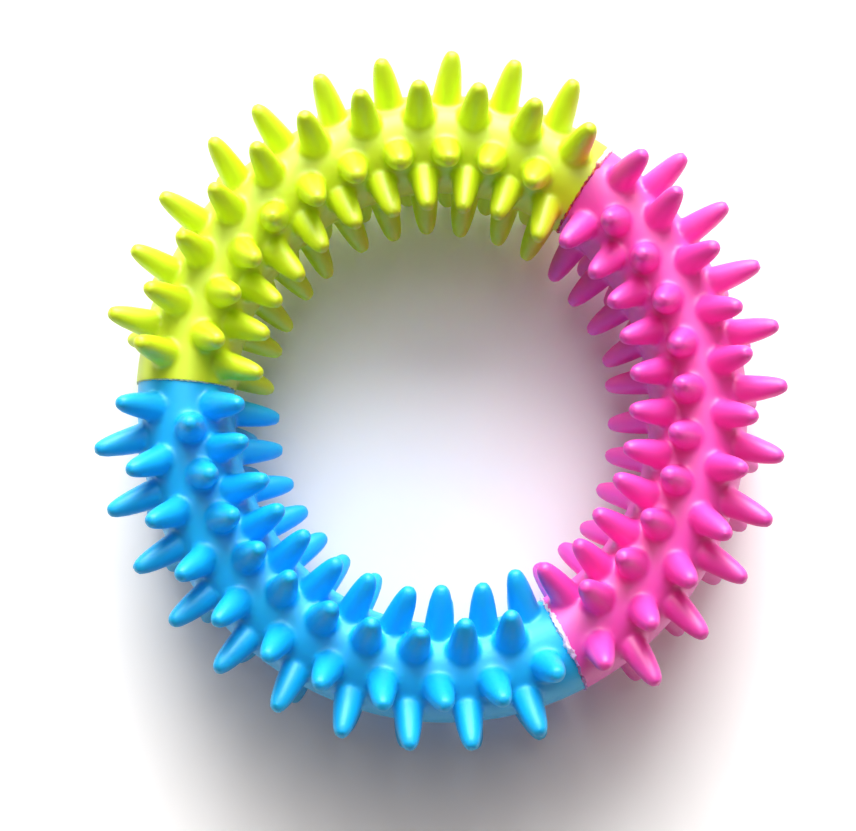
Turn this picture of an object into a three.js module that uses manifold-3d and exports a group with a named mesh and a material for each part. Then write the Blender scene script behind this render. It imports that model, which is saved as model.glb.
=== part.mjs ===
// A flexible chew ring for dogs: three moulded rubber arcs in three colours, set with rows of blunt spikes.
// The arcs join end to end. Each has a plug at one end, which sits in a socket in the next arc, and a thin
// collar of bonding fills the seam around the plug.
// Millimetres, +Z up. The ring lies flat: its axis is Z, and its lowest spike tips stand on Z = 0.
import * as THREE from "three";
import { mergeVertices } from "three/addons/utils/BufferGeometryUtils.js";
import Module from "manifold-3d";

// The round bar that the ring is made of
const ringRadius = 44.7; // ring axis to the middle of the bar
const barRadius = 8.3;
const arcCount = 3;
const firstSeamAngle = 56.4; // degrees from +X, where the green arc starts

// Spikes: blunt bullets that stand square to the bar. The radius of one is a power of the way from its tip.
const spikeHeight = 8.3; // bar surface to spike tip
const spikeBaseRadius = 2.65; // where the spike leaves the bar
const spikePower = 0.35; // the power: 0.5 is a parabola, and less is blunter
const spikeRoot = 0.6; // how far the foot of the spike is sunk below the bar surface
const longRowSpikes = 11; // spikes in a long row of one arc; a short row has one fewer
const restFlatDepth = 0.65; // how much of the lowest tips is flattened where the ring rests

// Rows of spikes, in degrees round the bar from its outer side; each row has a twin below the middle plane
const outerRowAngle = 39.5;
const shoulderRowAngle = 70;
const crownRowAngle = 114;
const innerRowAngle = 145;

// How far each arc was turned about its own bar when it was bonded, in degrees from the outer side over the
// top. A turn is taken halfway along the arc; a twist is how much more its last end is turned than its first.
const greenTwist = -4;
const blueTurn = -4;
const blueTwist = 22;
const pinkTurn = -4.25;
const pinkTwist = -5.5;

// Seams
const bondThickness = 0.8; // collar of bonding between two arcs, at the middle of the bar
const bondProud = 0.25; // how far the squeezed-out collar stands above the bar
const fitGap = 0.3; // clearance between neighbouring pieces
const plugRadius = 4;
const plugDepth = 8; // how far a plug reaches into the next arc
const plugRoot = 4; // how far a plug is rooted in its own arc
const plugLeadIn = 1; // chamfer on the plug's end

// Facets
const barSides = 16;
const arcSteps = 11;
const spikeSides = 6;
const spikeRings = 3;
const plugSides = 12;

const arcAngle = (2 * Math.PI) / arcCount;
const spikePitch = arcAngle / longRowSpikes;
const seamHalfGap = bondThickness / 2 + fitGap;
const spikeReach = barRadius + spikeHeight;
const longRow = Math.floor(longRowSpikes); // the whole spikes that the arc has room for at that pitch
const shortRow = longRow - 1;
const spikeRows = [
  { angle: outerRowAngle, spikes: shortRow },
  { angle: shoulderRowAngle, spikes: longRow },
  { angle: crownRowAngle, spikes: shortRow },
  { angle: innerRowAngle, spikes: longRow },
];

const greenSet = { turn: 0, twist: greenTwist };
const blueSet = { turn: blueTurn, twist: blueTwist };
const pinkSet = { turn: pinkTurn, twist: pinkTwist };

// Where an arc's spikes stand: round the ring from its first seam, and round the bar from its outer side
function spikePlaces({ turn, twist }) {
  const places = [];
  for (const row of spikeRows) {
    const rowAngle = THREE.MathUtils.degToRad(row.angle);
    for (let i = 0; i < row.spikes; i += 1) {
      const fromMiddle = (i - (row.spikes - 1) / 2) * spikePitch;
      const ringAngle = arcAngle / 2 + fromMiddle;
      const turned = THREE.MathUtils.degToRad(turn + (twist * fromMiddle) / arcAngle);
      places.push({ ringAngle, barAngle: turned + rowAngle }, { ringAngle, barAngle: turned - rowAngle });
    }
  }
  return places;
}

// Height of the middle plane: the lowest tips, less the flat that the ring rests on
const allPlaces = [greenSet, blueSet, pinkSet].flatMap(spikePlaces);
const tipDrops = allPlaces.map((place) => -spikeReach * Math.sin(place.barAngle));
const middleHeight = Math.max(...tipDrops) - restFlatDepth;

const wasm = await Module();
wasm.setup();

// A closed solid from a geometry: shared corners merged, triangles that shrank to a line left out
function solidOf(geometry) {
  geometry.deleteAttribute("normal");
  geometry.deleteAttribute("uv");
  const merged = mergeVertices(geometry);
  const index = merged.index.array;
  const triVerts = [];
  for (let i = 0; i < index.length; i += 3) {
    const corners = [index[i], index[i + 1], index[i + 2]];
    if (new Set(corners).size === corners.length) triVerts.push(...corners);
  }
  const vertProperties = new Float32Array(merged.attributes.position.array);
  return new wasm.Manifold(new wasm.Mesh({ numProp: 3, vertProperties, triVerts: new Uint32Array(triVerts) }));
}

function geometryOf(solid) {
  const { vertProperties, triVerts } = solid.getMesh();
  const geometry = new THREE.BufferGeometry();
  geometry.setAttribute("position", new THREE.BufferAttribute(vertProperties, 3));
  geometry.setIndex(new THREE.BufferAttribute(triVerts, 1));
  geometry.computeVertexNormals();
  return geometry;
}

// The middle line of the bar, between two angles about the ring's axis
class RingArc extends THREE.Curve {
  constructor(from, to) {
    super();
    this.from = from;
    this.to = to;
  }

  angleAt(t) {
    return THREE.MathUtils.lerp(this.from, this.to, t);
  }

  getPoint(t, point = new THREE.Vector3()) {
    const angle = this.angleAt(t);
    return point.set(ringRadius * Math.cos(angle), ringRadius * Math.sin(angle), 0);
  }

  getTangent(t, tangent = new THREE.Vector3()) {
    const angle = this.angleAt(t);
    return tangent.set(-Math.sin(angle), Math.cos(angle), 0);
  }
}

// A round section, bored if a bore is given, swept along the ring between two angles
function sweep(radius, bore, from, to, steps) {
  const section = new THREE.Shape().absarc(0, 0, radius, 0, 2 * Math.PI);
  if (bore > 0) section.holes.push(new THREE.Path().absarc(0, 0, bore, 0, 2 * Math.PI));
  const extrudePath = new RingArc(from, to);
  return new THREE.ExtrudeGeometry(section, { steps, extrudePath, curveSegments: barSides / 2 });
}

// One spike along +Y, from inside the bar to its tip, with Y measured from the middle of the bar. Its rings
// stand closer together towards the tip, where it is roundest.
function spike() {
  const foot = Math.sqrt(barRadius ** 2 - spikeBaseRadius ** 2) - spikeRoot;
  const profile = [new THREE.Vector2(0, foot)];
  for (let ring = spikeRings; ring >= 0; ring -= 1) {
    const fromTip = (spikeReach - foot) * (ring / spikeRings) ** 2;
    const radius = spikeBaseRadius * (fromTip / spikeHeight) ** spikePower;
    profile.push(new THREE.Vector2(radius, spikeReach - fromTip));
  }
  return new THREE.LatheGeometry(profile, spikeSides);
}

// A spike turned to its place: round the bar, then round the ring
function placedSpike({ ringAngle, barAngle }) {
  const place = new THREE.Matrix4().makeRotationZ(ringAngle);
  place.multiply(new THREE.Matrix4().makeTranslation(ringRadius, 0, 0));
  place.multiply(new THREE.Matrix4().makeRotationY(-barAngle));
  place.multiply(new THREE.Matrix4().makeRotationZ(-Math.PI / 2));
  return solidOf(spike().applyMatrix4(place));
}

// The plug at the seam of the given angle, pointing along the ring; with a clearance it is the socket's hollow
function plug(seamAngle, clearance) {
  const radius = plugRadius + clearance;
  const end = seamHalfGap + plugDepth + clearance;
  const profile = [
    new THREE.Vector2(0, -seamHalfGap - plugRoot),
    new THREE.Vector2(radius, -seamHalfGap - plugRoot),
    new THREE.Vector2(radius, end - plugLeadIn),
    new THREE.Vector2(radius - plugLeadIn, end),
    new THREE.Vector2(0, end),
  ];
  const place = new THREE.Matrix4().makeRotationZ(seamAngle);
  place.multiply(new THREE.Matrix4().makeTranslation(ringRadius, 0, 0));
  return solidOf(new THREE.LatheGeometry(profile, plugSides).applyMatrix4(place));
}

// Everything below the surface that the ring rests on, as seen from the middle plane
function restingGround() {
  const side = 2 * (ringRadius + 2 * spikeReach);
  const depth = 2 * spikeReach;
  return solidOf(new THREE.BoxGeometry(side, side, depth).translate(0, 0, -middleHeight - depth / 2));
}

// One arc between the seams at angle 0 and at arcAngle, with its spikes, its socket and its plug
function arcGeometry(set) {
  const endGap = seamHalfGap / ringRadius;
  let arc = solidOf(sweep(barRadius, 0, endGap, arcAngle - endGap, arcSteps));
  for (const place of spikePlaces(set)) {
    arc = arc.add(placedSpike(place));
  }
  arc = arc.subtract(plug(0, fitGap));
  arc = arc.add(plug(arcAngle, 0));
  return geometryOf(arc.subtract(restingGround()));
}

// The collar of bonding in the seam at angle 0
function bondGeometry() {
  const halfAngle = bondThickness / 2 / ringRadius;
  return geometryOf(solidOf(sweep(barRadius + bondProud, plugRadius + fitGap, -halfAngle, halfAngle, 1)));
}

function piece(name, geometry, look, seam) {
  const mesh = new THREE.Mesh(geometry, new THREE.MeshStandardMaterial({ metalness: 0, ...look }));
  mesh.name = name;
  mesh.rotation.z = THREE.MathUtils.degToRad(firstSeamAngle) + seam * arcAngle;
  return mesh;
}

const greenRubber = { color: 0xd9f000, roughness: 0.35 };
const blueRubber = { color: 0x06a2f5, roughness: 0.35 };
const pinkRubber = { color: 0xf533b4, roughness: 0.35 };
const clearBond = { color: 0xe8e4dc, roughness: 0.3 };

const ring = new THREE.Group();
ring.position.z = middleHeight;

ring.add(piece("green_arc", arcGeometry(greenSet), greenRubber, 0));
ring.add(piece("blue_arc", arcGeometry(blueSet), blueRubber, 1));
ring.add(piece("pink_arc", arcGeometry(pinkSet), pinkRubber, 2));

const bond = bondGeometry();
ring.add(piece("pink_green_bond", bond, clearBond, 0));
ring.add(piece("green_blue_bond", bond, clearBond, 1));
ring.add(piece("blue_pink_bond", bond, clearBond, 2));

export default ring;
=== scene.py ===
# %% [markdown]
# A chew ring for dogs. Three arcs of soft glossy rubber, lime green, azure blue and hot pink, are bonded
# end to end into a ring, and every arc is set with staggered rows of blunt spikes. The script loads the
# fixed frame of the ring first: it gives each piece's place and size, and every new piece is modelled to it.

# %% Load the frame
import math
import random

import bpy
from mathutils import Matrix, Vector


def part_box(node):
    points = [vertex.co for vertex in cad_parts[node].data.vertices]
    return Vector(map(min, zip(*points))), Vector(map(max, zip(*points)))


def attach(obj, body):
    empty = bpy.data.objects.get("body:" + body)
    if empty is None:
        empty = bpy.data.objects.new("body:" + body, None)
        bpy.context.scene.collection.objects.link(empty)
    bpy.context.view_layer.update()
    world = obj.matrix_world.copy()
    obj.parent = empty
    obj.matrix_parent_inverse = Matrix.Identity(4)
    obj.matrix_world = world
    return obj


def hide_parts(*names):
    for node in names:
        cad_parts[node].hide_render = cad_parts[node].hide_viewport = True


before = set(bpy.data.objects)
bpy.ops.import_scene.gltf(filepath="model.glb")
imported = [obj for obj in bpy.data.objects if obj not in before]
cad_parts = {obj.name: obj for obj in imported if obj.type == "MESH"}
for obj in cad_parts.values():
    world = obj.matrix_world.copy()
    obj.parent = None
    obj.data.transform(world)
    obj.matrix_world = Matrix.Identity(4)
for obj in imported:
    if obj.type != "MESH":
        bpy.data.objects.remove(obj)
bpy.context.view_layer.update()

MM = 0.001

# %% [markdown]
# The ring is drawn from a few sizes, in metres. The frame's bond collars lie round the bar at the seams, so
# the middle height of one collar is the middle plane of the whole ring.

# %% Sizes of the ring
RING_RADIUS = 44.7 * MM  # ring axis to the middle of the bar
BAR_RADIUS = 8.3 * MM
SPIKE_REACH = 16.6 * MM  # middle of the bar to a spike's tip
ARC_ANGLE = math.radians(120)
PINK_GREEN_SEAM = math.radians(56.4)
GREEN_BLUE_SEAM = PINK_GREEN_SEAM + ARC_ANGLE
BLUE_PINK_SEAM = GREEN_BLUE_SEAM + ARC_ANGLE

collar_low, collar_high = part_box("green_blue_bond")
MIDDLE = (collar_low[2] + collar_high[2]) / 2
print("middle plane at", round(MIDDLE / MM, 2), "mm")

# %% [markdown]
# The photograph looks down on the ring from close by, a little from its near side. A camera could be moved
# about until the picture fits, but this one is placed by measures: it stands on the line of sight at that
# distance, and its lens follows from how many pixels of the picture one millimetre takes.

# %% Camera
PICTURE_WIDTH = 856  # pixels
PIXELS_PER_MM = 5.85
VIEW_DISTANCE = 300 * MM
VIEW_ELEVATION = math.radians(82)
VIEW_SHIFT_RIGHT = -2.4 * MM
VIEW_SHIFT_UP = -2.1 * MM
NEAREST_SEEN = 10 * MM
SENSOR_WIDTH = 36  # of a new camera, in millimetres

bpy.ops.object.camera_add()
camera = bpy.context.object
camera.name = "photo_camera"
camera.data.lens = PIXELS_PER_MM * (VIEW_DISTANCE / MM) / PICTURE_WIDTH * SENSOR_WIDTH
camera.data.clip_start = NEAREST_SEEN
back = Vector((0, -math.cos(VIEW_ELEVATION), math.sin(VIEW_ELEVATION)))
right = Vector((1, 0, 0))
up = back.cross(right)
target = Vector((0, 0, MIDDLE)) + VIEW_SHIFT_RIGHT * right + VIEW_SHIFT_UP * up
camera.location = target + VIEW_DISTANCE * back
camera.rotation_euler = back.to_track_quat("Z", "Y").to_euler()
bpy.context.scene.camera = camera
bpy.context.scene.view_settings.view_transform = "Standard"
print("camera lens", round(camera.data.lens, 1), "mm at", [round(v, 3) for v in camera.location])

# %% [markdown]
# Materials are node trees, and most of their nodes only do sums. Each node could be added and linked by
# itself, but that hides the sums. So a small class wraps one output of a node, and the sums are written as
# Python: each plus, minus, times, divide or power adds a Math node. Every other node comes from one method,
# which takes the node's type, its settings and its sockets' values.

# %% Node expressions
class Value:
    def __init__(self, tree, output):
        self.tree = tree
        self.output = output

    def node(self, kind, settings, sockets, output=0):
        made = self.tree.nodes.new(kind)
        for name, setting in settings.items():
            setattr(made, name, setting)
        for name, value in sockets.items():
            if isinstance(value, Value):
                self.tree.links.new(value.output, made.inputs[name])
            else:
                made.inputs[name].default_value = value
        return Value(self.tree, made.outputs[output])

    def math(self, operation, first, second=0.0):
        return self.node("ShaderNodeMath", {"operation": operation}, {0: first, 1: second})

    def __add__(self, other):
        return self.math("ADD", self, other)

    def __radd__(self, other):
        return self.math("ADD", other, self)

    def __sub__(self, other):
        return self.math("SUBTRACT", self, other)

    def __rsub__(self, other):
        return self.math("SUBTRACT", other, self)

    def __mul__(self, other):
        return self.math("MULTIPLY", self, other)

    def __rmul__(self, other):
        return self.math("MULTIPLY", other, self)

    def __truediv__(self, other):
        return self.math("DIVIDE", self, other)

    def __rtruediv__(self, other):
        return self.math("DIVIDE", other, self)

    def __pow__(self, other):
        return self.math("POWER", self, other)

    def __rpow__(self, other):
        return self.math("POWER", other, self)

    def __abs__(self):
        return self.math("ABSOLUTE", self)

    def between(self, low, high):
        """0 where this is below low, 1 where it is above high, and a smooth step in between."""
        return self.node("ShaderNodeMapRange", {"interpolation_type": "SMOOTHSTEP"},
                         {"Value": self, "From Min": low, "From Max": high})

    def noise(self, size, detail=2.0):
        """Noise over this place, with features of about the given size."""
        return self.node("ShaderNodeTexNoise", {}, {"Vector": self, "Scale": 1 / size, "Detail": detail})

    def mix(self, first, second):
        """The first colour where this is 0 and the second where it is 1."""
        first, second = (c if isinstance(c, Value) else (*c, 1) for c in (first, second))
        return self.node("ShaderNodeMix", {"data_type": "RGBA"},
                         {"Factor": self, "A": first, "B": second}, "Result")

    def bump(self, strength, depth):
        """The normal of a surface that stands up by the depth where this is 1."""
        return self.node("ShaderNodeBump", {}, {"Height": self, "Strength": strength, "Distance": depth})

    def axis(self, letter):
        return self.node("ShaderNodeSeparateXYZ", {}, {0: self}, letter)


def new_material(name):
    """A material, its Principled shader, and the place on the object to build expressions from."""
    material = bpy.data.materials.new(name)
    material.use_nodes = True
    tree = material.node_tree
    place = Value(tree, tree.nodes.new("ShaderNodeTexCoord").outputs["Object"])
    return material, tree.nodes["Principled BSDF"], place


def feed(shader, socket, value):
    """Links what changes over the surface to a socket of the shader."""
    shader.id_data.links.new(value.output, shader.inputs[socket])


# %% [markdown]
# The ring lies on a plain pale floor, which painted light turns white away from the ring. More lamp light
# could make it white, but would bleach the ring as well. So the floor glows instead, only for rays that the
# camera
# sends out, directly or by way of a gloss: very slightly under the ring; more a little way off, as painted
# light that pales the ring's cast shadow where it ends; and more again far away, as painted light where the
# lamps are weak. No other ray sees this glow, so it adds no light.

# %% Floor
FLOOR_SIZE = 8
FLOOR_COLOUR = (0.95, 0.95, 0.95, 1)
FLOOR_ROUGHNESS = 0.9
FLOOR_GLOW = 0.03
# Painted light: these sizes and strengths set where the floor glows to pale the ring's cast shadow near its
# end, and to light the far floor.
FADE_ACROSS = 50 * MM
FADE_ALONG = 100 * MM
FADE_FROM = 0.6  # start and end of the fade, as shares of those two lengths
FADE_TO = 1.9
PAINTED_SHADOW_PALING = 0.45
FAR_FROM = 0.15
FAR_TO = 0.5
PAINTED_FAR_LIGHT = 0.5


def shown(tree):
    """1 for a ray that the camera sends out, also by way of a gloss or through something clear, else 0."""
    rays = tree.nodes.new("ShaderNodeLightPath").outputs
    camera_ray, glossy_ray, clear_ray = (Value(tree, rays["Is %s Ray" % kind])
                                         for kind in ("Camera", "Glossy", "Transmission"))
    return camera_ray.math("MINIMUM", camera_ray + glossy_ray + clear_ray, 1)


bpy.ops.object.select_all(action="DESELECT")
bpy.ops.mesh.primitive_plane_add(size=FLOOR_SIZE)
floor = bpy.context.object
floor.name = "floor"
floor_paint, floor_shader, floor_place = new_material("floor_paint")
x, y = floor_place.axis("X"), floor_place.axis("Y")
# Painted light on the floor: the glow grows where the ring's cast shadow ends, paling it, and again far off,
# where the lamps are weak.
painted_paling_mask = (((x / FADE_ACROSS) ** 2 + (y / FADE_ALONG) ** 2) ** 0.5).between(FADE_FROM, FADE_TO)
far = ((x * x + y * y) ** 0.5).between(FAR_FROM, FAR_TO)
glow = FLOOR_GLOW + painted_paling_mask * PAINTED_SHADOW_PALING + far * PAINTED_FAR_LIGHT
feed(floor_shader, "Emission Color", shown(floor_paint.node_tree) * glow)
floor_shader.inputs["Emission Strength"].default_value = 1
floor_shader.inputs["Base Color"].default_value = FLOOR_COLOUR
floor_shader.inputs["Roughness"].default_value = FLOOR_ROUGHNESS
floor_shader.inputs["Specular IOR Level"].default_value = 0
floor.data.materials.append(floor_paint)
print("floor", FLOOR_SIZE, "m wide")

# %% [markdown]
# The light is a low window at the top of the picture, so that the shadow falls towards the viewer, with a
# soft edge. One lamp alone would leave the ring's near side dark, so a much weaker skylight above it lights
# the upturned tips, and an even, slightly warm fill comes from all round. A lamp's size and power follow
# from the angles that it fills, as seen from the ring, and from how bright it makes a white surface that
# faces it.

# %% Light
LAMP_DISTANCE = 2
LAMPS_ASIDE = math.radians(2)  # from the picture's top towards its right
WINDOW_ELEVATION = math.radians(31)
WINDOW_WIDE = math.radians(44)
WINDOW_TALL = math.radians(36)
WINDOW_STRENGTH = 1.95
SKYLIGHT_ELEVATION = math.radians(64)
SKYLIGHT_WIDE = math.radians(40)
SKYLIGHT_TALL = math.radians(30)
SKYLIGHT_STRENGTH = 0.27
FILL_COLOUR = (1, 0.78, 0.64, 1)
FILL_STRENGTH = 0.17


def add_lamp(name, elevation, wide, tall, strength):
    towards = Vector((math.cos(elevation) * math.sin(LAMPS_ASIDE),
                      math.cos(elevation) * math.cos(LAMPS_ASIDE), math.sin(elevation)))
    bpy.ops.object.light_add(type="AREA", location=LAMP_DISTANCE * towards)
    lamp = bpy.context.object
    lamp.name = name
    lamp.data.shape = "RECTANGLE"
    lamp.data.size = 2 * LAMP_DISTANCE * math.tan(wide / 2)
    lamp.data.size_y = 2 * LAMP_DISTANCE * math.tan(tall / 2)
    lamp.data.energy = strength * (math.pi * LAMP_DISTANCE) ** 2
    lamp.rotation_euler = towards.to_track_quat("Z", "Y").to_euler()
    print(name, round(lamp.data.size, 2), "by", round(lamp.data.size_y, 2), "m,",
          round(lamp.data.energy, 1), "W")


add_lamp("window_light", WINDOW_ELEVATION, WINDOW_WIDE, WINDOW_TALL, WINDOW_STRENGTH)
add_lamp("skylight", SKYLIGHT_ELEVATION, SKYLIGHT_WIDE, SKYLIGHT_TALL, SKYLIGHT_STRENGTH)

world = bpy.data.worlds.new("studio")
bpy.context.scene.world = world
world.use_nodes = True
fill = world.node_tree.nodes["Background"]
fill.inputs["Color"].default_value = FILL_COLOUR
fill.inputs["Strength"].default_value = FILL_STRENGTH

# %% [markdown]
# The rubber is a dyed thermoplastic with a smooth moulded skin. One flat colour would look like paint, so
# light enters the skin a little, which keeps the shading soft and saturated. A thin oily bloom lies on the
# skin as a coat, which makes the highlights broad and pale. The skin isn't perfect: the dye is faintly
# cloudy, the gloss is patchy, the tips of the spikes are rubbed a little duller, and a fine ridge runs along
# the middle plane where the mould parted.

# %% Rubber finish
CLOUD_SIZE = 14 * MM
CLOUD_DETAIL = 3.0
CLOUD_RANGE = (0.3, 0.75)  # the noise that makes no cloud, and a full one
CLOUD_DEPTH = 0.5  # how far a full cloud takes the dye to its deep colour
PATCH_SIZE = 5 * MM
PATCH_DETAIL = 4.0
PATCH_RANGE = (0.3, 0.8)
PATCH_DULLNESS = 0.1
PATCH_HEIGHT = 0.05  # heights are shares of the relief's depth
GRAIN_SIZE = 0.5 * MM
GRAIN_HEIGHT = 0.018
RIDGE_HALF_WIDTH = 0.22 * MM
RIDGE_HEIGHT = 0.12
FOOT_HEIGHT = 2 * MM  # above the bar, where the ridge has faded out on a spike
RELIEF_STRENGTH = 0.6
RELIEF_DEPTH = 1 * MM
TIP_LENGTH = 4 * MM
TIP_DULLNESS = 0.05
GLOSS = 1.0
ROUGHNESS = 0.48
BLOOM = 0.4
BLOOM_ROUGHNESS = 0.4
LIGHT_ENTERING = 0.25
LIGHT_DEPTH = 2 * MM


def out_from_bar(place):
    """How far a place lies outside the middle line of the bar, as seen from above."""
    x, y = place.axis("X"), place.axis("Y")
    return (x * x + y * y) ** 0.5 - RING_RADIUS


def rubber_finish(name, colour, deep_colour, gloss_tint):
    material, shader, place = new_material(name)
    out = out_from_bar(place)
    above = place.axis("Z") - MIDDLE
    reach = (out * out + above * above) ** 0.5
    tip = reach.between(SPIKE_REACH - TIP_LENGTH, SPIKE_REACH)
    spike = reach.between(BAR_RADIUS, BAR_RADIUS + FOOT_HEIGHT)
    ridge = 1 - abs(above).between(0.0, RIDGE_HALF_WIDTH)
    cloud = place.noise(CLOUD_SIZE, CLOUD_DETAIL)
    patch = place.noise(PATCH_SIZE, PATCH_DETAIL)
    grain = place.noise(GRAIN_SIZE)

    feed(shader, "Base Color", (cloud.between(*CLOUD_RANGE) * CLOUD_DEPTH).mix(colour, deep_colour))
    roughness = ROUGHNESS + patch.between(*PATCH_RANGE) * PATCH_DULLNESS + tip * TIP_DULLNESS
    feed(shader, "Roughness", roughness)
    height = ridge * (1 - spike) * RIDGE_HEIGHT + grain * GRAIN_HEIGHT + patch * PATCH_HEIGHT
    feed(shader, "Normal", height.bump(RELIEF_STRENGTH, RELIEF_DEPTH))

    shader.inputs["Specular IOR Level"].default_value = GLOSS
    shader.inputs["Specular Tint"].default_value = (*gloss_tint, 1)
    shader.inputs["Coat Weight"].default_value = BLOOM
    shader.inputs["Coat Roughness"].default_value = BLOOM_ROUGHNESS
    shader.inputs["Subsurface Weight"].default_value = LIGHT_ENTERING
    shader.inputs["Subsurface Radius"].default_value = colour
    shader.inputs["Subsurface Scale"].default_value = LIGHT_DEPTH
    print(name, "has", len(material.node_tree.nodes), "nodes")
    return material


GREEN_RUBBER = rubber_finish("green_rubber", colour=(0.74, 0.94, 0.0), deep_colour=(0.66, 0.88, 0.0),
                             gloss_tint=(1, 1, 0.9))
BLUE_RUBBER = rubber_finish("blue_rubber", colour=(0.0, 0.5, 1.0), deep_colour=(0.0, 0.43, 1.0),
                            gloss_tint=(0.4, 1, 1))
PINK_RUBBER = rubber_finish("pink_rubber", colour=(1.0, 0.07, 0.56), deep_colour=(0.98, 0.045, 0.45),
                            gloss_tint=(1, 1, 1))

# %% [markdown]
# Pieces are shaped with the same operators that a modeller uses by hand. Operators act on whatever is
# selected, so each piece starts from object mode with nothing selected. Small helpers do the steps that
# come back on every piece, such as picking corners by where they are, or applying a modifier.

# %% Modelling helpers
def start_clear():
    if bpy.context.object and bpy.context.object.mode != "OBJECT":
        bpy.ops.object.mode_set(mode="OBJECT")
    bpy.ops.object.select_all(action="DESELECT")


def pick(piece, chosen):
    """In edit mode, selects the corners for which chosen(place) is true."""
    bpy.ops.mesh.select_mode(type="VERT")
    bpy.ops.mesh.select_all(action="DESELECT")
    bpy.ops.object.mode_set(mode="OBJECT")
    for corner in piece.data.vertices:
        corner.select = chosen(corner.co)
    bpy.ops.object.mode_set(mode="EDIT")


def face_outwards():
    """In edit mode, turns every face of the piece outwards."""
    bpy.ops.mesh.select_all(action="SELECT")
    bpy.ops.mesh.normals_make_consistent(inside=False)


def apply_modifier(piece, kind, **settings):
    modifier = piece.modifiers.new(kind.lower(), kind)
    for name, setting in settings.items():
        setattr(modifier, name, setting)
    bpy.context.view_layer.objects.active = piece
    bpy.ops.object.modifier_apply(modifier=modifier.name)


def apply_place():
    """Puts the selected object's place and turn into its mesh, so that the object sits at the origin."""
    bpy.ops.object.transform_apply(location=True, rotation=True, scale=True)


def turn_about_axis(piece, angle):
    """Turns a finished piece about the ring's axis."""
    piece.rotation_euler.z = angle
    apply_place()


def join(piece, others):
    """Joins the other objects into the piece."""
    start_clear()
    for joined in (piece, *others):
        joined.select_set(True)
    bpy.context.view_layer.objects.active = piece
    bpy.ops.object.join()


# %% [markdown]
# The spikes of the real ring all come from one mould, so one is modelled and then copied. It could be turned
# from a profile, but a modeller would extrude it: a small disc is pulled up ring by ring and scaled to the
# outline at each step. The outline is a blunt bullet, whose radius grows as a power of the way from its tip.

# %% One spike
SPIKE_FOOT_RADIUS = 2.55 * MM
SPIKE_ROOT = 1.2 * MM  # how far the foot is sunk in the bar
SPIKE_SIDES = 16
SPIKE_RINGS = 8
BLUNTNESS = 0.3  # that power: 0.5 is a parabola, and less is blunter


def spike_outline():
    """Radius and height of each ring of the spike, from its foot; heights are from the bar's middle."""
    outline = [(SPIKE_FOOT_RADIUS, BAR_RADIUS - SPIKE_ROOT)]
    for ring in range(SPIKE_RINGS, 0, -1):
        from_tip = (ring / SPIKE_RINGS) ** 2
        height = SPIKE_REACH - from_tip * (SPIKE_REACH - BAR_RADIUS)
        outline.append((SPIKE_FOOT_RADIUS * from_tip ** BLUNTNESS, height))
    return outline


def model_spike():
    start_clear()
    outline = spike_outline()
    radius, height = outline[0]
    bpy.ops.mesh.primitive_circle_add(vertices=SPIKE_SIDES, radius=radius, fill_type="NGON")
    spike = bpy.context.object
    bpy.ops.object.mode_set(mode="EDIT")
    bpy.ops.mesh.select_all(action="SELECT")
    bpy.ops.transform.translate(value=(0, 0, height))
    for next_radius, next_height in outline[1:]:
        bpy.ops.mesh.extrude_region_move(TRANSFORM_OT_translate={"value": (0, 0, next_height - height)})
        grow = next_radius / radius
        bpy.ops.transform.resize(value=(grow, grow, 1), center_override=(0, 0, next_height))
        radius, height = next_radius, next_height
    face_outwards()
    bpy.ops.object.mode_set(mode="OBJECT")
    print("spike:", len(spike.data.polygons), "faces, height", round(spike.dimensions.z / MM, 2), "mm")
    return spike


SPIKE = model_spike()

# %% [markdown]
# The bar of an arc is a solid round one. It could be cut out of a torus, but a circle that is spun round the
# ring's axis makes just the stretch that is needed, with both ends filled. It runs a little past the seams,
# because the arc is cut back to them when its skin is finished.

# %% The bar of an arc
BAR_SIDES = 48
BAR_STEPS = 60
BAR_SPARE = 2 * MM  # how far the uncut bar runs past each seam


def model_bar(radius):
    start_clear()
    spare = BAR_SPARE / RING_RADIUS
    start = Vector((RING_RADIUS * math.cos(spare), -RING_RADIUS * math.sin(spare), MIDDLE))
    bpy.ops.mesh.primitive_circle_add(vertices=BAR_SIDES, radius=radius, location=start,
                                      rotation=(math.pi / 2, 0, -spare), fill_type="NGON")
    bar = bpy.context.object
    apply_place()
    bpy.ops.object.mode_set(mode="EDIT")
    bpy.ops.mesh.select_all(action="SELECT")
    bpy.ops.mesh.spin(steps=BAR_STEPS, angle=ARC_ANGLE + 2 * spare, center=(0, 0, 0), axis=(0, 0, -1))
    face_outwards()
    bpy.ops.object.mode_set(mode="OBJECT")
    print("bar:", len(bar.data.polygons), "faces")
    return bar


# %% [markdown]
# The spikes are planted on the bar in eight rows: four above the middle plane and their twins below it. The
# arcs of a real ring are bonded by hand, so each is turned a little about its own bar, and the blue one is
# twisted from end to end. Soft rubber is also pulled out of its mould, so an arc's spikes lean a few degrees
# along the ring, and each copy leans its own way on top of that. An Array modifier would make all copies
# alike, so they are placed one by one.

# %% Planting the spikes
LONG_ROW = 11
SHORT_ROW = 10
SPIKE_ROWS = {39.5: SHORT_ROW, 70: LONG_ROW, 114: SHORT_ROW, 145: LONG_ROW}  # by degrees from the outer side
LEAN = math.radians(3)
REACH_SPREAD = 0.025


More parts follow.
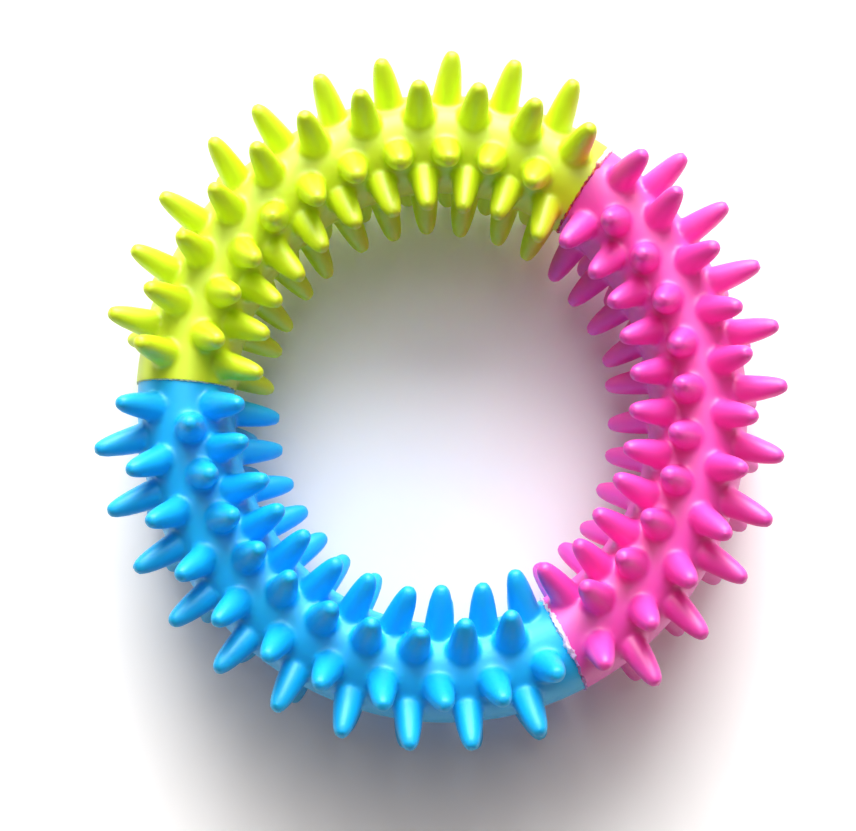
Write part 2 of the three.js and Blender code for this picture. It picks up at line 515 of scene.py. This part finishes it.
def plant(ring_angle, row_angle, lean_along, reach, dice):
    """A copy of the spike at its place, leaning a little about the point where it leaves the bar."""
    spike = SPIKE.copy()
    spike.data = SPIKE.data.copy()
    bpy.context.collection.objects.link(spike)
    root = Matrix.Translation((0, 0, BAR_RADIUS))
    lean = Matrix.Rotation(dice.gauss(-lean_along, LEAN), 4, "X")
    lean = lean @ Matrix.Rotation(dice.gauss(0, LEAN), 4, "Y")
    spread = 1 + dice.uniform(-REACH_SPREAD, REACH_SPREAD)
    length = (reach - BAR_RADIUS) / (SPIKE_REACH - BAR_RADIUS) * spread
    stretch = Matrix.Scale(length, 4, (0, 0, 1))
    place = Matrix.Translation((0, 0, MIDDLE)) @ Matrix.Rotation(ring_angle, 4, "Z")
    place = place @ Matrix.Translation((RING_RADIUS, 0, 0))
    place = place @ Matrix.Rotation(math.pi / 2 - row_angle, 4, "Y")
    spike.data.transform(place @ root @ lean @ stretch @ root.inverted())
    return spike


def partway(ends, along):
    """What a value is part of the way along an arc, from what it is at the arc's two ends."""
    return ends[0] + (ends[1] - ends[0]) * along


def plant_rows(reach, turns, leans, dice):
    """All spikes of an arc, with its turn about the bar and the spikes' lean in degrees at its two ends."""
    spikes = []
    for row, count in SPIKE_ROWS.items():
        for i in range(count):
            along = 0.5 + (i - (count - 1) / 2) / LONG_ROW
            turn = partway(turns, along)
            lean = math.radians(partway(leans, along))
            for side in (1, -1):
                row_angle = math.radians(side * row + turn)
                spikes.append(plant(along * ARC_ANGLE, row_angle, lean, reach, dice))
    print(len(spikes), "spikes planted")
    return spikes


# %% [markdown]
# Boolean unions could join the spikes to the bar, but would leave a hard edge round every foot. A voxel
# remesh fuses them into one skin instead, and a light smoothing rounds every foot as moulded rubber is. Cuts
# then give the arc its crisp ends at the seams. Each cut face is inset and extruded: inwards for the socket
# at one end, outwards for the plug that sits in the next socket. The ring is soft and lies a little out of
# round, by a millimetre, so each arc's corners are moved out or in to match. A last cut at the floor
# flattens the tips that the ring rests on.

# %% An arc of the ring
VOXEL = 0.44 * MM
SMOOTH_FACTOR = 0.5
SMOOTH_ROUNDS = 3
CUT_EXACTNESS = 0.001 * MM
SEAM_HALF_GAP = 0.06 * MM
PLUG_RADIUS = 4 * MM
PLUG_DEPTH = 8 * MM
PLUG_CLEARANCE = 0.4 * MM
OVAL = 1.0 * MM
OVAL_DIRECTION = math.radians(100)
SHARP_EDGE = math.radians(50)


def cut(front):
    """Cuts the piece through the origin, keeps what lies in front of the cut and fills the cut face."""
    bpy.ops.mesh.select_all(action="SELECT")
    bpy.ops.mesh.bisect(plane_co=(0, 0, 0), plane_no=front, use_fill=True, clear_inner=True,
                        threshold=CUT_EXACTNESS)


def cut_end(angle, keep, inset, pull):
    """Cuts the arc square at an angle and pulls the core of the cut face along the ring."""
    along = Vector((-math.sin(angle), math.cos(angle), 0))
    cut(along * keep)
    bpy.ops.mesh.select_mode(type="FACE")
    bpy.ops.mesh.inset(thickness=inset)
    bpy.ops.mesh.extrude_region_move(TRANSFORM_OT_translate={"value": along * pull})


def lie_oval(piece):
    """Moves every corner out or in, by how far the oval lies from a true circle at the corner's angle."""
    for corner in piece.data.vertices:
        angle = math.atan2(corner.co.y, corner.co.x)
        out = OVAL * math.cos(2 * (angle - OVAL_DIRECTION))
        corner.co += Vector((out * math.cos(angle), out * math.sin(angle), 0))


def model_arc(name, seam, material, radius, reach, turns, leans, seed):
    arc = model_bar(radius)
    join(arc, plant_rows(reach, turns, leans, random.Random(seed)))
    apply_modifier(arc, "REMESH", mode="VOXEL", voxel_size=VOXEL)
    apply_modifier(arc, "SMOOTH", factor=SMOOTH_FACTOR, iterations=SMOOTH_ROUNDS)
    bpy.ops.object.mode_set(mode="EDIT")
    gap = SEAM_HALF_GAP / RING_RADIUS
    cut_end(gap, keep=1, inset=radius - PLUG_RADIUS - PLUG_CLEARANCE, pull=PLUG_DEPTH + PLUG_CLEARANCE)
    cut_end(ARC_ANGLE - gap, keep=-1, inset=radius - PLUG_RADIUS, pull=PLUG_DEPTH)
    bpy.ops.object.mode_set(mode="OBJECT")
    turn_about_axis(arc, seam)
    lie_oval(arc)
    bpy.ops.object.mode_set(mode="EDIT")
    cut((0, 0, 1))
    bpy.ops.object.mode_set(mode="OBJECT")
    bpy.ops.object.shade_smooth_by_angle(angle=SHARP_EDGE)
    arc.name = name
    arc.data.materials.clear()
    arc.data.materials.append(material)
    print(name, "has", sum(len(face.vertices) - 2 for face in arc.data.polygons), "triangles")
    return arc


# %% [markdown]
# The three arcs are alike but not the same. One function makes them all, and each has its own thickness,
# spike length, turn about the bar and lean of its spikes, as measured in the photograph. A seed of its own
# gives each arc its own small unevenness. The finished arcs then take the place of the frame's plain ones.

# %% Three arcs
green_arc = model_arc("green_arc_rubber", PINK_GREEN_SEAM, GREEN_RUBBER, radius=8.5 * MM, reach=17 * MM,
                      turns=(2, -2), leans=(-5, 8), seed=11)
blue_arc = model_arc("blue_arc_rubber", GREEN_BLUE_SEAM, BLUE_RUBBER, radius=8.2 * MM, reach=16.6 * MM,
                     turns=(-15, 7), leans=(7, 4), seed=12)
pink_arc = model_arc("pink_arc_rubber", BLUE_PINK_SEAM, PINK_RUBBER, radius=8.3 * MM, reach=16.6 * MM,
                     turns=(-1.5, -7), leans=(-8, -3), seed=13)
for arc, colour in ((green_arc, "green"), (blue_arc, "blue"), (pink_arc, "pink")):
    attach(arc, "root")
    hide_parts(colour + "_arc")
bpy.data.objects.remove(SPIKE)

# %% [markdown]
# The arcs are joined with a clear flexible bonding. It fills the seam around the plug, and what was squeezed
# out stands as a ragged bead on the bar: whitish and crinkled between blue and pink, a thin reddish line
# between pink and green, and hardly to be seen under the crisp edge of the green arc. A clear material would
# render noisily on so thin a bead, so a streaky one with a little depth stands for it. Its colours carry
# painted light: the whitish streaks between blue and pink are partly the bead's own tone and partly painted
# highlight, and each bead's outer side is painted with how the window light falls on it, a pale painted
# highlight between pink and green, where it faces the window, and a darker painted shade on the other two,
# where it is turned from the window.

# %% Bonding finish
STREAK_SIZE = 0.9 * MM
STREAK_DETAIL = 3.0
STREAK_RANGE = (0.42, 0.58)
STREAK_DULLNESS = 0.3
CRINKLE_SIZE = 0.35 * MM
CRINKLE_STRENGTH = 0.5
CRINKLE_DEPTH = 0.2 * MM
# Painted light and shade: from this far out of the bar's middle line, each bead's colour turns to its painted
# outer shading.
PAINTED_SHADING_FROM = 1.5 * MM  # outside the bar's middle line, where the outer colour starts and is full
PAINTED_SHADING_TO = 5 * MM
BOND_ROUGHNESS = 0.25
BOND_LIGHT_ENTERING = 0.4
BOND_LIGHT_COLOUR = (1, 0.8, 0.8)
BOND_LIGHT_DEPTH = 0.5 * MM


def bond_finish(name, pale, tinted, painted_outer_shading):
    material, shader, place = new_material(name)
    streak = place.noise(STREAK_SIZE, STREAK_DETAIL)
    crinkle = place.noise(CRINKLE_SIZE)
    # The streaks mix the bead's own tones, and the whitish one of the blue and pink bead is partly painted
    # highlight. Further out, the colour turns to the painted outer shading: painted highlight where that side
    # faces the window, painted shade where it is turned from it.
    skin = streak.between(*STREAK_RANGE).mix(pale, tinted)
    feed(shader, "Base Color", out_from_bar(place).between(PAINTED_SHADING_FROM, PAINTED_SHADING_TO).mix(skin, painted_outer_shading))
    feed(shader, "Roughness", BOND_ROUGHNESS + streak * STREAK_DULLNESS)
    feed(shader, "Normal", crinkle.bump(CRINKLE_STRENGTH, CRINKLE_DEPTH))
    shader.inputs["Subsurface Weight"].default_value = BOND_LIGHT_ENTERING
    shader.inputs["Subsurface Radius"].default_value = BOND_LIGHT_COLOUR
    shader.inputs["Subsurface Scale"].default_value = BOND_LIGHT_DEPTH
    print(name, "has", len(material.node_tree.nodes), "nodes")
    return material


# Painted shading on the outer sides: a darker purple painted shade between blue and pink and a darker green
# one between green and blue, whose outer sides are turned from the window, and a pale painted highlight
# between pink and green, whose outer side faces it. The whitish streaks between blue and pink are partly
# painted highlight.
WHITE_BOND = bond_finish("white_bond", pale=(0.9, 0.84, 0.9), tinted=(0.85, 0.6, 0.85),
                         painted_outer_shading=(0.55, 0.25, 0.65))
RED_BOND = bond_finish("red_bond", pale=(0.75, 0.2, 0.03), tinted=(0.45, 0.01, 0.08),
                       painted_outer_shading=(0.95, 0.75, 0.7))
PALE_BOND = bond_finish("pale_bond", pale=(0.75, 0.85, 0.6), tinted=(0.25, 0.5, 0.35),
                        painted_outer_shading=(0.5, 0.7, 0.4))

# %% [markdown]
# Each bond is a thin washer round the plug, with a ring-shaped bead at the bar's surface. The washer is a
# circle that is extruded outwards and thickened with Solidify. The bead could be sculpted, but a torus is
# quicker to make ragged: one stretch of it is fattened, its corners are pushed about at random, and a light
# smoothing turns the mess into soft crinkles.

# %% Bonds
WASHER_SIDES = 64
WASHER_THICKNESS = 0.1 * MM
BEAD_STEPS = 170
BEAD_SIDES = 8
BEAD_SMOOTH_ROUNDS = 2


def bar_angle(place):
    """Degrees round the bar from its outer side, over the top, before the piece is turned to its seam."""
    return math.degrees(math.atan2(place.z - MIDDLE, place.x - RING_RADIUS))


def model_washer(radius):
    start_clear()
    bore = PLUG_RADIUS + PLUG_CLEARANCE / 2
    bpy.ops.mesh.primitive_circle_add(vertices=WASHER_SIDES, radius=bore, location=(RING_RADIUS, 0, MIDDLE),
                                      rotation=(math.pi / 2, 0, 0))
    washer = bpy.context.object
    apply_place()
    bpy.ops.object.mode_set(mode="EDIT")
    bpy.ops.mesh.select_mode(type="EDGE")
    bpy.ops.mesh.select_all(action="SELECT")
    bpy.ops.mesh.extrude_region_move(TRANSFORM_OT_translate={"value": (0, 0, 0)})
    grow = radius / bore
    bpy.ops.transform.resize(value=(grow, 1, grow), center_override=(RING_RADIUS, 0, MIDDLE))
    bpy.ops.object.mode_set(mode="OBJECT")
    apply_modifier(washer, "SOLIDIFY", thickness=WASHER_THICKNESS, offset=0)
    return washer


def model_bead(radius, thickness, ragged, fat_from, fat_to, fattened, seed):
    """A ragged bead round the bar, fattened between two angles in degrees round the bar."""
    start_clear()
    bpy.ops.mesh.primitive_torus_add(major_radius=radius, minor_radius=thickness / 2,
                                     major_segments=BEAD_STEPS, minor_segments=BEAD_SIDES,
                                     location=(RING_RADIUS, 0, MIDDLE), rotation=(math.pi / 2, 0, 0))
    bead = bpy.context.object
    apply_place()
    bpy.ops.object.mode_set(mode="EDIT")
    pick(bead, lambda place: fat_from < bar_angle(place) < fat_to)
    bpy.ops.transform.shrink_fatten(value=fattened)
    bpy.ops.mesh.select_all(action="SELECT")
    bpy.ops.transform.vertex_random(offset=ragged, seed=seed)
    bpy.ops.object.mode_set(mode="OBJECT")
    apply_modifier(bead, "SMOOTH", factor=SMOOTH_FACTOR, iterations=BEAD_SMOOTH_ROUNDS)
    return bead


def model_bond(name, seam, material, washer, bead):
    join(washer, [bead])
    turn_about_axis(washer, seam)
    lie_oval(washer)
    bpy.ops.object.shade_smooth_by_angle(angle=SHARP_EDGE)
    washer.name = name
    washer.data.materials.append(material)
    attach(washer, "root")
    print(name, "has", len(washer.data.polygons), "faces")
    return washer


# %% [markdown]
# The three bonds differ most in how much was squeezed out, and where. The one between blue and pink has the
# fattest bead, on top of the bar; between pink and green it is fattest on the outer shoulder; between green
# and blue it is a mere thread.

# %% Three bonds
blue_pink_bond = model_bond(
    "blue_pink_bonding", BLUE_PINK_SEAM, WHITE_BOND, model_washer(8.2 * MM),
    model_bead(radius=8.25 * MM, thickness=0.45 * MM, ragged=0.55 * MM,
               fat_from=70, fat_to=130, fattened=0.25 * MM, seed=3))
pink_green_bond = model_bond(
    "pink_green_bonding", PINK_GREEN_SEAM, RED_BOND, model_washer(8.3 * MM),
    model_bead(radius=8.38 * MM, thickness=0.42 * MM, ragged=0.35 * MM,
               fat_from=20, fat_to=72, fattened=0.3 * MM, seed=4))
green_blue_bond = model_bond(
    "green_blue_bonding", GREEN_BLUE_SEAM, PALE_BOND, model_washer(8.2 * MM),
    model_bead(radius=8.28 * MM, thickness=0.25 * MM, ragged=0.2 * MM,
               fat_from=60, fat_to=120, fattened=0.05 * MM, seed=5))
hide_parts("blue_pink_bond")
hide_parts("pink_green_bond")
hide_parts("green_blue_bond")
